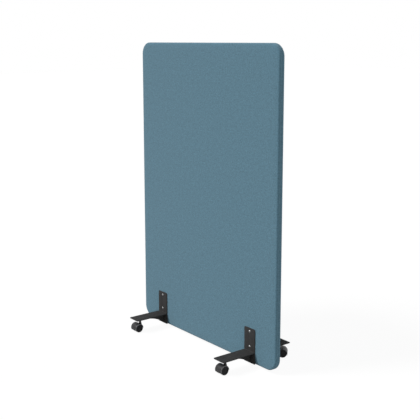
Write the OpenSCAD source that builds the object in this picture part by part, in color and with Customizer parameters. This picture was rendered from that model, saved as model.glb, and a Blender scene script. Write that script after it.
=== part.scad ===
// Rolling partition: an upholstered acoustic panel standing on four bracket feet with hooded
// twin-wheel swivel casters. Millimetres. The origin is on the floor under the middle of the
// panel, X runs along the panel, -Y is the front and +Z is up.

/* [Panel] */
// Width of the upholstered panel
panel_w = 1000; // [700:10:1600]
// Height of the upholstered panel
panel_h = 1400; // [900:10:1800]
// Thickness of the upholstered panel
panel_t = 32; // [28:1:60]
// Gap between the floor and the lower edge of the panel
floor_gap = 13; // [8:1:20]
// Radius of the four corners, seen from the front
corner_r = 55; // [30:1:100]
// Radius of the soft edge between a face and the side
edge_r = 8; // [5:0.5:12]
// Thickness of the woven fabric
fabric_t = 1.2; // [0.8:0.1:2]
// Thickness of the foam pad under the fabric
foam_t = 4; // [2:0.5:6]

/* [Timber frame] */
// Width of the stiles and rails
timber_w = 40; // [30:1:60]
// Room left for the folded fabric between the frame and the cover
frame_gap = 1; // [1:0.5:4]
// Diameter of the dowels in the frame joints
dowel_d = 8; // [6:1:10]
// Length of the dowels
dowel_l = 30; // [20:2:50]
// Width of the hardwood blocks behind the brackets
block_w = 90; // [80:2:120]
// How far the hardwood blocks reach above the upper screw
block_rise = 27; // [10:1:60]

/* [Foot brackets] */
// Distance from the end of the panel to the middle of a bracket
bracket_inset = 165; // [120:5:300]
// Width of the bracket's plate and arm
bracket_w = 70; // [60:1:90]
// Height of the upright plate
plate_h = 160; // [130:5:220]
// Thickness of the bracket steel
steel_t = 4; // [3:0.5:6]
// Length of the arm from the panel's face
arm_l = 180; // [150:5:240]
// Corner radius of the plate and the arm
steel_r = 5; // [2:0.5:12]
// Thickness of the curved rib under the arm
rib_t = 5; // [3:0.5:8]
// Distance from the swivel axis back to the blunt end of the rib
rib_gap = 34; // [20:1:60]
// Height of the rib's blunt end under the arm
rib_nose = 12; // [2:0.5:16]
// Height of the rib's foot above the plate's lower end
rib_foot = 2; // [1:0.5:12]
// Leg of the fillet welds
weld_leg = 2.5; // [1.5:0.5:4]

/* [Bracket screws] */
// From the top of the arm up to the lower screw
screw_rise = 21; // [14:1:30]
// From the upper end of the plate down to the upper screw
screw_drop = 15; // [10:1:30]
// Diameter of the screw shank
screw_d = 6; // [5:0.5:8]
// Wall of the barrel of the sleeve nut
barrel_wall = 0.95; // [0.8:0.05:1.5]
// Wall of the spacer tube inside the panel
spacer_wall = 1.8; // [1:0.1:3]
// Diameter of the screw and nut heads
head_d = 12; // [11.5:0.5:18]
// Height of the heads
head_h = 3; // [2:0.5:5]

/* [Casters] */
// Diameter of the wheels
wheel_d = 40; // [36:1:50]
// Width of each wheel
wheel_w = 15; // [12:0.5:20]
// Running gap between the tread and the hood
wheel_clear = 1.2; // [0.8:0.1:3]
// Wall of the hood
hood_wall = 1.8; // [1.5:0.1:3]
// How far the hood comes down behind, in degrees below the axle
hood_skirt = 23; // [0:1:30]
// Radius of the hood's outer shoulders
hood_round = 1.4; // [0.5:0.1:1.4]
// Diameter of the axle
axle_d = 5; // [4:0.5:6]
// Diameter of the swivel stem
stem_d = 8; // [6.5:0.5:10]
// Wall of the neck round the stem
neck_wall = 1.7; // [1.5:0.1:3]
// How far the neck stands above the hood
neck_rise = 6.5; // [3:0.5:15]
// How much the neck's foot widens onto the hood, all round
neck_flare = 3; // [1:0.5:5]
// Diameter of the cap in the middle of each wheel
cap_d = 14; // [12:0.5:18]
// Length of bare stem between the neck and the arm
stem_show = 13.5; // [8:0.5:20]
// Distance from the swivel axis to the axle, level with the floor
trail = 17; // [14:0.5:20]
// Distance from the outer end of the arm to the swivel axis
stem_inset = 38; // [25:1:60]

/* [Caster positions] */
// Turn of the front left caster, with 0 trailing straight out
swivel_fl = 0; // [-180:1:180]
// Turn of the front right caster
swivel_fr = 0; // [-180:1:180]
// Turn of the rear left caster
swivel_rl = 0; // [-180:1:180]
// Turn of the rear right caster
swivel_rr = -45; // [-180:1:180]

/* [Hidden] */
$fn = 64;

FRONT = -1; // side of the panel, along Y
REAR = 1;
LEFT = -1; // end of the panel, along X
RIGHT = 1;

fit = 0.05; // radial clearance of a shaft in its bore
slip = 0.2; // clearance of a part that is pushed into place
merge = 0.01; // overlap of two shapes that make one solid

// Panel build-up
frame_t = panel_t - 2 * (fabric_t + foam_t);
inner_w = panel_w - 2 * corner_r; // between the centres of the corner arcs
inner_h = panel_h - 2 * corner_r;
frame_inset = fabric_t + frame_gap; // from the outside of the cover to the frame
bay_w = panel_w - 2 * (frame_inset + timber_w); // clear width between the stiles
foot_x = panel_w / 2 - bracket_inset;
dowel_wall = 3; // least timber round a dowel
dowel_pitch = dowel_d + 2; // between the two dowels of an outer joint

// The outer rails are as wide as the stiles, or wide enough for two dowels that clear the round
// corner of the frame where their ends come nearest to it.
frame_r = corner_r - frame_inset;
dowel_past = max(0, bay_w / 2 + dowel_l / 2 - inner_w / 2); // their ends, past the arc's centre
corner_clear = corner_r - sqrt(frame_r * frame_r - dowel_past * dowel_past);
outer_rail_w = max(timber_w,
    corner_clear - frame_inset + dowel_pitch + dowel_d + 2 * dowel_wall);
block_z = frame_inset + outer_rail_w; // the blocks stand on the bottom rail
mid_rail_z = panel_h / 2 - timber_w / 2; // lower edges of the rails
top_rail_z = panel_h - block_z;

// Caster build-up, heights above the floor
wheel_r = wheel_d / 2;
hood_bore_r = wheel_r + wheel_clear;
hood_r = hood_bore_r + hood_wall;
neck_d = stem_d + 2 * (fit + neck_wall);
wheel_gap = neck_d + 1.5; // between the two wheels, clear of the neck
hood_w = wheel_gap + 2 * wheel_w;
neck_top = wheel_r + hood_r + neck_rise;
arm_under = neck_top + stem_show;
arm_top = arm_under + steel_t;
stem_reach = arm_l - stem_inset; // from the panel's face
collar_h = 3; // hexagon that tightens the stem
socket_z = wheel_r + 5; // bottom of the stem's socket
ring_z = socket_z + 4; // middle of the retaining ring
ring_wire = 1.2;
groove_depth = 0.7;
web_t = 6; // wall between the two wheels
tread_t = 3.5; // wall of the wheel rim
disc_t = 2.5; // wall of the wheel disc
disc_recess = 2.5; // from the side of the wheel in to the disc
tread_round = 2;
wheel_ribs = 6;
wheel_rib_t = 1.5;
hub_wall = 3;
hub_d = axle_d + 2 * hub_wall;
wheel_rib_in = 2; // from the inner side of the wheel to its ribs
cap_h = 1.2; // of the cap, which stays inside the wheel's recess
hood_bead = 1.6; // width of the thicker rim at each side of the hood
axle_l = 2 * (wheel_gap / 2 + wheel_w - disc_recess - disc_t - 0.5);

// Bracket fasteners, heights above the lower edge of the panel
screw_heights = [arm_top - floor_gap + screw_rise, plate_h - screw_drop];
barrel_d = screw_d + 2 * (fit + barrel_wall);
spacer_d = barrel_d + 2 * (slip + spacer_wall);
bolt_hole_r = spacer_d / 2 + slip;
block_top = plate_h - screw_drop + block_rise;
screw_end = 8; // from the screw's end to the rear face of the panel
barrel_end = 1; // from the barrel's end to the front face of the panel
socket_w = 4.6; // hexagon socket in the heads, across its corners
socket_depth = 1.6;

// ---- Shared shapes ----

// Lays down what is round about z so that it is round about x: its x axis goes to y and its y
// axis goes up.
module lay_round() {
    rotate([90, 0, 90]) children();
}

// Stands up what is drawn lying down: its x stays, its y runs up from the lower edge of the
// panel and its z points to the front.
module stand() {
    translate([0, 0, floor_gap]) rotate([90, 0, 0]) children();
}

// A quarter of a disc in the first quadrant
module quarter_disc(r) {
    intersection() {
        circle(r);
        square(r);
    }
}

// Half of the panel's edge in section: x runs out from the corner centre to reach, y from the
// middle of the panel to rise, and the far corner is round.
module half_edge(reach, rise, r) {
    square([reach - r, rise]);
    translate([reach - r, 0]) square([r, rise - r]);
    translate([reach - r, rise - r]) quarter_disc(r);
}

// Runs a section round the outline of the panel, arcs and straights in turn
module round_the_panel() {
    for (corner = [0 : 3]) {
        side_x = corner == 0 || corner == 3 ? 1 : -1;
        side_y = corner < 2 ? 1 : -1;
        run = corner % 2 == 0 ? inner_w : inner_h;
        translate([side_x * inner_w / 2, panel_h / 2 + side_y * inner_h / 2, 0])
            rotate([0, 0, 90 * corner]) {
                rotate_extrude(angle = 90) children();
                translate([-run, 0, 0]) rotate([90, 0, 90]) linear_extrude(run) children();
            }
    }
}

// The flat middle of the panel, between the corner centres, from one depth to another
module field(from, to) {
    translate([-inner_w / 2, corner_r, from]) cube([inner_w, inner_h, to - from]);
}

// The holes through the panel for the bracket bolts
module bolt_holes(r) {
    for (side = [LEFT, RIGHT], z = screw_heights)
        translate([side * foot_x, z, -panel_t]) cylinder(r = r, h = 2 * panel_t);
}

// ---- Upholstered panel ----

// One half of the fabric cover, sewn to the other half along the middle of the edge
module cover_half() {
    difference() {
        union() {
            round_the_panel() difference() {
                half_edge(corner_r, panel_t / 2, edge_r);
                half_edge(corner_r - fabric_t, panel_t / 2 - fabric_t, edge_r - fabric_t);
            }
            field(panel_t / 2 - fabric_t, panel_t / 2);
        }
        bolt_holes(bolt_hole_r);
    }
}

// The foam pad over one face of the frame
module foam_pad() {
    inner_face = frame_t / 2;
    difference() {
        union() {
            round_the_panel() difference() {
                half_edge(corner_r - fabric_t, panel_t / 2 - fabric_t, edge_r - fabric_t);
                translate([-1, -1]) square([corner_r + 2, inner_face + 1]);
            }
            field(inner_face, inner_face + foam_t);
        }
        bolt_holes(bolt_hole_r);
    }
}

module front_cover() {
    color([0.38, 0.50, 0.56]) stand() cover_half();
}

module rear_cover() {
    color([0.38, 0.50, 0.56]) stand() mirror([0, 0, 1]) cover_half();
}

module front_pad() {
    color("ivory") stand() foam_pad();
}

module rear_pad() {
    color("ivory") stand() mirror([0, 0, 1]) foam_pad();
}

// The whole outline of the timber frame as a slab
module frame_slab() {
    round_the_panel()
        translate([0, -frame_t / 2]) square([corner_r - frame_inset, frame_t]);
    field(-frame_t / 2, frame_t / 2);
}

// A box as thick as the frame, between two corners seen from the front
module slab(low, high) {
    translate([low[0], low[1], -frame_t / 2])
        cube([high[0] - low[0], high[1] - low[1], frame_t]);
}

// Two dowels across each joint between the rails and one stile, or the holes for them. In the
// outer rails they lie near the inner edge, clear of the round corner.
module dowels_at(side, extra = 0) {
    near = dowel_d / 2 + dowel_wall;
    far = near + dowel_pitch;
    length = dowel_l + 2 * extra;
    heights = [block_z - far, block_z - near, mid_rail_z + near, mid_rail_z + timber_w - near,
        top_rail_z + near, top_rail_z + far];
    for (z = heights) translate([side * bay_w / 2 - length / 2, z, 0])
        rotate([0, 90, 0]) cylinder(d = dowel_d + 2 * extra, h = length);
}

module stile(side) {
    inner = side * bay_w / 2;
    outer = side * panel_w / 2;
    color("burlywood") stand() difference() {
        intersection() {
            frame_slab();
            slab([min(inner, outer), 0], [max(inner, outer), panel_h]);
        }
        dowels_at(side, fit);
    }
}

// A rail between the stiles, from its lower edge to its upper edge
module rail(low, high) {
    color("burlywood") stand() difference() {
        intersection() {
            frame_slab();
            slab([-bay_w / 2, low], [bay_w / 2, high]);
        }
        dowels_at(LEFT, fit);
        dowels_at(RIGHT, fit);
    }
}

// A hardwood block on the bottom rail that the bracket bolts pass through
module bracket_block(side) {
    middle = side * foot_x;
    color("peru") stand() difference() {
        slab([middle - block_w / 2, block_z], [middle + block_w / 2, block_top]);
        bolt_holes(bolt_hole_r);
    }
}

module upper_core() {
    color("gainsboro") stand()
        slab([-bay_w / 2, mid_rail_z + timber_w], [bay_w / 2, top_rail_z]);
}

module lower_core() {
    color("gainsboro") stand() difference() {
        slab([-bay_w / 2, block_z], [bay_w / 2, mid_rail_z]);
        for (side = [LEFT, RIGHT])
            translate([side * foot_x - block_w / 2 - slip, block_z - 1, -panel_t])
                cube([block_w + 2 * slip, block_top - block_z + slip + 1, 2 * panel_t]);
    }
}

module frame_dowels() {
    color("wheat") stand() for (side = [LEFT, RIGHT]) dowels_at(side);
}

// ---- Foot brackets ----

// Puts a foot in place. Its x runs along the panel, -y points away from the panel's face and z
// is the height above the floor.
module at_foot(end, side) {
    translate([end * foot_x, side * panel_t / 2, 0])
        rotate([0, 0, side == FRONT ? 0 : 180]) children();
}

// A strip of bracket steel, flat from y = 0, with its two far corners rounded
module steel_blank(length) {
    half = bracket_w / 2;
    translate([-half, 0]) square([bracket_w, length - steel_r]);
    translate([-half + steel_r, length - steel_r]) square([bracket_w - 2 * steel_r, steel_r]);
    translate([half - steel_r, length - steel_r]) quarter_disc(steel_r);
    translate([-half + steel_r, length - steel_r]) rotate(90) quarter_disc(steel_r);
}

// The curved rib seen from the side: x runs away from the plate, y down from the arm
module rib_side() {
    reach = stem_reach - rib_gap - steel_t;
    drop = arm_under - floor_gap - rib_foot;
    rise = drop - rib_nose; // of the arch, over the whole reach
    arch_r = (reach * reach + rise * rise) / (2 * rise);
    difference() {
        square([reach, drop]);
        translate([reach, rib_nose + arch_r]) circle(arch_r, $fn = 256);
    }
}

// The fillet weld on top of the arm, in section: x runs towards the plate and y up
module weld_section() {
    polygon([[0, 0], [-weld_leg, 0], [0, weld_leg]]);
}

module foot_bracket(end, side) {
    face = -steel_t; // outer face of the plate
    color([0.2, 0.2, 0.21]) at_foot(end, side) difference() {
        union() {
            translate([0, 0, floor_gap]) rotate([90, 0, 0]) linear_extrude(steel_t)
                steel_blank(plate_h);
            translate([0, face, arm_under]) mirror([0, 1, 0]) linear_extrude(steel_t)
                steel_blank(arm_l - steel_t);
            translate([0, face, arm_under]) rotate([180, 0, 0]) lay_round()
                linear_extrude(rib_t, center = true) rib_side();
            translate([0, face, arm_top]) lay_round()
                linear_extrude(bracket_w - 2 * steel_r, center = true) weld_section();
        }
        for (z = screw_heights)
            translate([0, 1, floor_gap + z]) rotate([90, 0, 0])
                cylinder(d = barrel_d + 2 * slip, h = steel_t + 2);
        translate([0, -stem_reach, arm_under - 1]) cylinder(d = stem_d + 2 * fit, h = steel_t + 2);
    }
}

// ---- Bracket fasteners ----

// Places a fastener at each bolt, with its z pointing out of the front of the panel
module at_bolts() {
    stand() for (end = [LEFT, RIGHT], z = screw_heights) translate([end * foot_x, z, 0])
        children();
}

// A low domed head on z = 0 with a hexagon socket
module domed_head() {
    dome_r = (head_d * head_d / 4 + head_h * head_h) / (2 * head_h);
    difference() {
        intersection() {
            translate([0, 0, head_h - dome_r]) sphere(dome_r);
            cylinder(d = head_d, h = head_h);
        }
        translate([0, 0, head_h - socket_depth]) cylinder(d = socket_w, h = head_h, $fn = 6);
    }
}

module bracket_screws() {
    shank_l = panel_t + steel_t - screw_end;
    color("silver") at_bolts() translate([0, 0, panel_t / 2 + steel_t]) {
        domed_head();
        translate([0, 0, -shank_l]) cylinder(d = screw_d, h = shank_l + merge);
    }
}

module sleeve_nuts() {
    barrel_l = panel_t + steel_t - barrel_end;
    thread_l = panel_t - 2 * barrel_end;
    color("silver") at_bolts() translate([0, 0, -panel_t / 2 - steel_t]) {
        mirror([0, 0, 1]) domed_head();
        difference() {
            translate([0, 0, -merge]) cylinder(d = barrel_d, h = barrel_l + merge);
            translate([0, 0, barrel_l - thread_l])
                cylinder(d = screw_d + 2 * fit, h = thread_l + 1);
        }
    }
}

module spacer_tubes() {
    color("gray") at_bolts() difference() {
        cylinder(d = spacer_d, h = panel_t, center = true);
        cylinder(d = barrel_d + 2 * slip, h = panel_t + 2, center = true);
    }
}

// ---- Casters ----

// Puts a caster in place, with its swivel axis on z and its axle trailing towards -y
module at_stem(end, side) {
    at_foot(end, side) translate([0, -stem_reach, 0]) children();
}

module at_axle(end, side, swivel) {
    at_stem(end, side) rotate([0, 0, swivel]) translate([0, -trail, wheel_r]) children();
}

module stem(end, side) {
    length = arm_top - 0.3 - socket_z - slip;
    color("dimgray") at_stem(end, side) difference() {
        union() {
            translate([0, 0, socket_z + slip]) cylinder(d = stem_d, h = length);
            translate([0, 0, arm_under - collar_h])
                cylinder(d = neck_d + 1, h = collar_h, $fn = 6);
        }
        translate([0, 0, ring_z]) difference() {
            cylinder(d = stem_d + 2, h = ring_wire + slip, center = true);
            cylinder(d = stem_d - 2 * groove_depth, h = ring_wire + 2 * slip, center = true);
        }
    }
}

// The split ring that snaps into the hood's groove and keeps the caster on its stem
module stem_rings() {
    inner = stem_d / 2 - groove_depth + fit;
    color("silver") for (end = [LEFT, RIGHT], side = [FRONT, REAR]) at_stem(end, side)
        translate([0, 0, ring_z - ring_wire / 2]) rotate_extrude(angle = 310)
            translate([inner, 0]) square([ring_wire, ring_wire]);
}

// The shell of the hood in section: x is the radius and y runs along the axle. Its shoulders
// are round, and a bead at each side comes down over the edge of the tread.
module hood_section() {
    shoulder = hood_w / 2 - hood_round;
    translate([hood_bore_r, -shoulder]) square([hood_wall, 2 * shoulder]);
    for (flip = [0, 1]) mirror([0, flip]) {
        translate([hood_bore_r, shoulder]) square([hood_wall - hood_round, hood_round]);
        translate([hood_r - hood_round, shoulder]) quarter_disc(hood_round);
        translate([hood_bore_r - wheel_clear / 2, hood_w / 2 - hood_bead])
            square([wheel_clear / 2 + merge, hood_bead]);
    }
}

// The flared foot of the neck on the shell of the hood, flush with the back of the shell
module neck_foot() {
    foot = hood_r / 2;
    intersection() {
        difference() {
            translate([0, trail, foot]) cylinder(d1 = neck_d + 2 * neck_flare, d2 = neck_d,
                h = hood_r + neck_rise / 2 - foot);
            lay_round() cylinder(r = hood_r - hood_wall / 2, h = hood_w, center = true);
        }
        translate([-hood_r, -hood_r, 0]) cube([2 * hood_r, 2 * hood_r, 2 * hood_r]);
    }
}

// The moulded hood: a barrel over both wheels, a wall between them, the boss of the axle and
// the neck that turns on the stem.
module hood(end, side, swivel) {
    sweep = 180 + hood_skirt;
    color([0.12, 0.12, 0.13]) at_axle(end, side, swivel) difference() {
        union() {
            lay_round() rotate_extrude(angle = sweep) hood_section();
            neck_foot();
            lay_round() rotate_extrude(angle = sweep)
                translate([0, -web_t / 2]) square([hood_bore_r + hood_wall / 2, web_t]);
            lay_round() cylinder(d = hub_d + 2, h = wheel_gap - 2 * slip, center = true);
            translate([0, trail, -3]) cylinder(d = neck_d, h = neck_top - wheel_r + 3);
        }
        lay_round() cylinder(d = axle_d, h = hood_w, center = true);
        translate([0, trail, socket_z - wheel_r])
            cylinder(d = stem_d + 2 * fit, h = neck_top - socket_z + 1);
        translate([0, trail, ring_z - wheel_r])
            cylinder(r = stem_d / 2 - groove_depth + ring_wire + 2 * slip,
                h = ring_wire + 2 * slip, center = true);
    }
}

module axle(end, side, swivel) {
    color("silver") at_axle(end, side, swivel) lay_round()
        cylinder(d = axle_d, h = axle_l, center = true);
}

// Half of a wheel's section: x is the radius and y runs from the inner side out
module wheel_section() {
    disc_out = wheel_w - disc_recess;
    rim = wheel_r - tread_t;
    difference() {
        union() {
            translate([rim, 0]) square([tread_t - tread_round, wheel_w]);
            translate([wheel_r - tread_round, tread_round])
                square([tread_round, wheel_w - 2 * tread_round]);
            translate([wheel_r - tread_round, wheel_w - tread_round]) quarter_disc(tread_round);
            translate([wheel_r - tread_round, tread_round]) rotate(-90)
                quarter_disc(tread_round);
            translate([0, disc_out - disc_t]) square([rim, disc_t]);
            square([hub_d / 2, disc_out]);
            translate([0, disc_out]) square([cap_d / 2 - cap_h, cap_h]);
            translate([cap_d / 2 - cap_h, disc_out]) quarter_disc(cap_h);
        }
        translate([-1, -1]) square([axle_d / 2 + fit + 1, disc_out - disc_t + 1]);
    }
}

module wheel(end, side, swivel, hand) {
    color([0.16, 0.16, 0.17]) at_axle(end, side, swivel) mirror([hand < 0 ? 1 : 0, 0, 0])
        translate([wheel_gap / 2, 0, 0]) lay_round() {
            rotate_extrude() wheel_section();
            for (rib = [0 : wheel_ribs - 1]) rotate(rib * 360 / wheel_ribs)
                translate([hub_d / 2 - 0.5, -wheel_rib_t / 2, wheel_rib_in])
                    cube([wheel_r - tread_t - hub_d / 2 + 1, wheel_rib_t,
                        wheel_w - disc_recess - wheel_rib_in]);
        }
}

// ---- Nodes ----

front_cover();
rear_cover();
front_pad();
rear_pad();
stile(LEFT);  // left_stile
stile(RIGHT);  // right_stile
rail(top_rail_z, panel_h - frame_inset);  // top_rail
rail(mid_rail_z, mid_rail_z + timber_w);  // mid_rail
rail(frame_inset, block_z);  // bottom_rail
bracket_block(LEFT);  // left_block
bracket_block(RIGHT);  // right_block
upper_core();
lower_core();
frame_dowels();
foot_bracket(LEFT, FRONT);  // foot_bracket_fl
foot_bracket(RIGHT, FRONT);  // foot_bracket_fr
foot_bracket(LEFT, REAR);  // foot_bracket_rl
foot_bracket(RIGHT, REAR);  // foot_bracket_rr
bracket_screws();
sleeve_nuts();
spacer_tubes();
stem(LEFT, FRONT);  // stem_fl
stem(RIGHT, FRONT);  // stem_fr
stem(LEFT, REAR);  // stem_rl
stem(RIGHT, REAR);  // stem_rr
stem_rings();
hood(LEFT, FRONT, swivel_fl);  // hood_fl
axle(LEFT, FRONT, swivel_fl);  // axle_fl
wheel(LEFT, FRONT, swivel_fl, LEFT);  // wheel_fl_left
wheel(LEFT, FRONT, swivel_fl, RIGHT);  // wheel_fl_right
hood(RIGHT, FRONT, swivel_fr);  // hood_fr
axle(RIGHT, FRONT, swivel_fr);  // axle_fr
wheel(RIGHT, FRONT, swivel_fr, LEFT);  // wheel_fr_left
wheel(RIGHT, FRONT, swivel_fr, RIGHT);  // wheel_fr_right
hood(LEFT, REAR, swivel_rl);  // hood_rl
axle(LEFT, REAR, swivel_rl);  // axle_rl
wheel(LEFT, REAR, swivel_rl, LEFT);  // wheel_rl_left
wheel(LEFT, REAR, swivel_rl, RIGHT);  // wheel_rl_right
hood(RIGHT, REAR, swivel_rr);  // hood_rr
axle(RIGHT, REAR, swivel_rr);  // axle_rr
wheel(RIGHT, REAR, swivel_rr, LEFT);  // wheel_rr_left
wheel(RIGHT, REAR, swivel_rr, RIGHT);  // wheel_rr_right
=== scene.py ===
import math
import bpy
from mathutils import Matrix, Vector, noise


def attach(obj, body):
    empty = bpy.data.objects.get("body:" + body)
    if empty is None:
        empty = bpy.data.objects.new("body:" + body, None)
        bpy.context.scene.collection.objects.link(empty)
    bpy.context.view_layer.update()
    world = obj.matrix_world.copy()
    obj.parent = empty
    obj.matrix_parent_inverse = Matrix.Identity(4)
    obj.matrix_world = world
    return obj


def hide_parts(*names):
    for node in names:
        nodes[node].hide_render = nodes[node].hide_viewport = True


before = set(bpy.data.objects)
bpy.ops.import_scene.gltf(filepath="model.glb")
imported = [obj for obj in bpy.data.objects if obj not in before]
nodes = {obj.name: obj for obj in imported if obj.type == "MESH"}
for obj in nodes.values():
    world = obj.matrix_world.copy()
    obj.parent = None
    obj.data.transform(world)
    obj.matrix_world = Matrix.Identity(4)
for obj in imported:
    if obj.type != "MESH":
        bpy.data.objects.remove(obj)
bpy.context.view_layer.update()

mm = 0.001
corners = ("fl", "fr", "rl", "rr")


# Helpers for modelling. Sizes are given in millimetres.

def clearSelection():
    if bpy.context.mode != "OBJECT":
        bpy.ops.object.mode_set(mode="OBJECT")
    bpy.ops.object.select_all(action="DESELECT")


def pick(*pieces):
    clearSelection()
    for piece in pieces:
        piece.select_set(True)
    bpy.context.view_layer.objects.active = pieces[0]


def editAll(piece):  # opens the piece in edit mode with everything selected
    pick(piece)
    bpy.ops.object.mode_set(mode="EDIT")
    bpy.ops.mesh.select_all(action="SELECT")


def leaveEdit():
    bpy.ops.object.mode_set(mode="OBJECT")


def settle(piece, name):  # puts the place into the mesh, so that the object sits at the origin
    pick(piece)
    bpy.ops.object.transform_apply(location=True, rotation=True, scale=True)
    piece.name = name
    piece.data.name = name
    return piece


def applyModifiers(piece):
    pick(piece)
    for modifier in list(piece.modifiers):
        bpy.ops.object.modifier_apply(modifier=modifier.name)


def smooth(piece, angle):
    pick(piece)
    bpy.ops.object.shade_smooth_by_angle(angle=math.radians(angle))


def selectParts(piece, kind, wanted):  # leaves the piece in edit mode
    pick(piece)
    bpy.ops.object.mode_set(mode="EDIT")
    bpy.ops.mesh.select_mode(type=kind)
    bpy.ops.mesh.select_all(action="DESELECT")
    leaveEdit()
    mesh = piece.data
    if kind == "VERT":
        for vertex in mesh.vertices:
            vertex.select = wanted(vertex.co / mm)
    elif kind == "EDGE":
        for edge in mesh.edges:
            first, second = (mesh.vertices[index].co / mm for index in edge.vertices)
            edge.select = wanted(first, second)
    else:
        for face in mesh.polygons:
            face.select = wanted(face.center / mm, face.normal)
    bpy.ops.object.mode_set(mode="EDIT")


def near(value, target, slack=0.02):
    return abs(value - target) < slack


def remove(*models):
    for model in models:
        bpy.data.objects.remove(model, do_unlink=True)


def addBlock(low, high):
    centre = [(a + b) / 2 * mm for a, b in zip(low, high)]
    bpy.ops.mesh.primitive_cube_add(size=1, location=centre)
    block = bpy.context.object
    block.scale = [(b - a) * mm for a, b in zip(low, high)]
    return settle(block, "block")


def addRod(radius, start, end, sides=48):  # a cylinder from start to end
    start, end = Vector(start), Vector(end)
    run = end - start
    bpy.ops.mesh.primitive_cylinder_add(
        vertices=sides, radius=radius * mm, depth=run.length * mm,
        location=(start + end) / 2 * mm, rotation=run.to_track_quat("Z", "Y").to_euler(),
    )
    return settle(bpy.context.object, "rod")


def combine(piece, other, operation):
    modifier = piece.modifiers.new("combine", "BOOLEAN")
    modifier.operation = operation
    modifier.solver = "EXACT"
    modifier.object = other
    applyModifiers(piece)
    remove(other)


def bisectAt(piece, place, normal, cutOff=False):  # cutOff drops what lies past the cut
    editAll(piece)
    bpy.ops.mesh.bisect(plane_co=Vector(place) * mm, plane_no=normal, clear_outer=cutOff,
        use_fill=cutOff)
    leaveEdit()


def extrudeRun(steps):
    for step in steps:
        bpy.ops.mesh.extrude_region_move(TRANSFORM_OT_translate={"value": Vector(step) * mm})


def closeUp(piece, gap):  # merges doubles and turns the faces outwards
    editAll(piece)
    bpy.ops.mesh.remove_doubles(threshold=gap * mm)
    bpy.ops.mesh.normals_make_consistent(inside=False)
    leaveEdit()


def cleanUp(piece, gap, turn=0):  # closes slivers that a cut left, and takes out needless edges
    editAll(piece)
    bpy.ops.mesh.remove_doubles(threshold=gap * mm)
    if turn:
        bpy.ops.mesh.dissolve_limited(angle_limit=math.radians(turn))
        bpy.ops.mesh.select_all(action="SELECT")
    bpy.ops.mesh.dissolve_degenerate(threshold=0.01 * mm)
    leaveEdit()


def dropSpareCorners(piece):  # where only two edges meet, which can fold a face over itself
    meets = [0] * len(piece.data.vertices)
    for edge in piece.data.edges:
        for index in edge.vertices:
            meets[index] += 1
    inOrder = iter(meets)
    selectParts(piece, "VERT", lambda place: next(inOrder) == 2)
    bpy.ops.mesh.dissolve_verts()
    leaveEdit()


def roundEdges(piece, width, segments, angle, clamp=True):
    modifier = piece.modifiers.new("round", "BEVEL")
    modifier.use_clamp_overlap = clamp
    modifier.width = width * mm
    modifier.segments = segments
    modifier.limit_method = "ANGLE"
    modifier.angle_limit = math.radians(angle)
    applyModifiers(piece)
    cleanUp(piece, 0.004)


def roundSome(piece, wanted, width, segments=6):  # only the edges that are wanted
    selectParts(piece, "EDGE", wanted)
    bpy.ops.mesh.bevel(offset=width * mm, segments=segments, affect="EDGES")
    leaveEdit()


def joinPieces(pieces, name):
    pick(*pieces)
    bpy.ops.object.join()
    return settle(bpy.context.object, name)


def copyTo(piece, name, place, turn=0):
    pick(piece)
    bpy.ops.object.duplicate(linked=False)
    twin = bpy.context.object
    turned = Matrix.Rotation(math.radians(turn), 4, "Z")
    twin.matrix_world = Matrix.Translation(Vector(place) * mm) @ turned
    return settle(twin, name)


def finishPiece(piece, material, body, replaced):
    piece.data.materials.clear()
    piece.data.materials.append(material)
    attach(piece, body)
    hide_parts(*replaced)


# Helpers for materials

def newMaterial(name):
    material = bpy.data.materials.new(name)
    material.use_nodes = True
    return material, material.node_tree, material.node_tree.nodes["Principled BSDF"]


def feed(tree, node, inputs):  # links each input to a socket, or sets it to a value
    for name, value in inputs.items():
        if isinstance(value, bpy.types.NodeSocket):
            tree.links.new(value, node.inputs[name])
        else:
            node.inputs[name].default_value = value


def calc(tree, operation, first, second=0):
    node = tree.nodes.new("ShaderNodeMath")
    node.operation = operation
    feed(tree, node, {0: first, 1: second})
    return node.outputs[0]


def addNoise(tree, vector, scale, detail=2, roughness=0.5):
    node = tree.nodes.new("ShaderNodeTexNoise")
    feed(tree, node, {
        "Vector": vector, "Scale": scale, "Detail": detail, "Roughness": roughness})
    return node.outputs["Fac"]


def addCells(tree, vector, size):
    node = tree.nodes.new("ShaderNodeTexVoronoi")
    feed(tree, node, {"Vector": vector, "Scale": 1 / (size * mm)})
    return node.outputs["Distance"]


def spread(tree, value, low, high):  # turns 0.3 to 0.7 into low to high
    node = tree.nodes.new("ShaderNodeMapRange")
    feed(tree, node, {
        "Value": value, "From Min": 0.3, "From Max": 0.7, "To Min": low, "To Max": high})
    return node.outputs["Result"]


def mixColours(tree, share, first, second):
    node = tree.nodes.new("ShaderNodeMix")
    node.data_type = "RGBA"
    first, second = ((*colour, 1) if isinstance(colour, tuple) else colour
        for colour in (first, second))
    feed(tree, node, {0: share, 6: first, 7: second})
    return node.outputs[2]


def tint(tree, colour, factor):  # a colour times a number
    node = tree.nodes.new("ShaderNodeVectorMath")
    node.operation = "SCALE"
    feed(tree, node, {0: colour, "Scale": factor})
    return node.outputs[0]


def stretched(tree, vector, scale):
    node = tree.nodes.new("ShaderNodeMapping")
    feed(tree, node, {"Vector": vector, "Scale": scale})
    return node.outputs[0]


def combineXyz(tree, x, y):
    node = tree.nodes.new("ShaderNodeCombineXYZ")
    feed(tree, node, {0: x, 1: y})
    return node.outputs[0]


def objectPlace(tree):
    return tree.nodes.new("ShaderNodeTexCoord").outputs["Object"]


def addBump(tree, shader, height, depth):
    node = tree.nodes.new("ShaderNodeBump")
    feed(tree, node, {"Strength": 1, "Distance": depth * mm, "Height": height})
    feed(tree, shader, {"Normal": node.outputs["Normal"]})


# Camera at the photograph's angle

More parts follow.
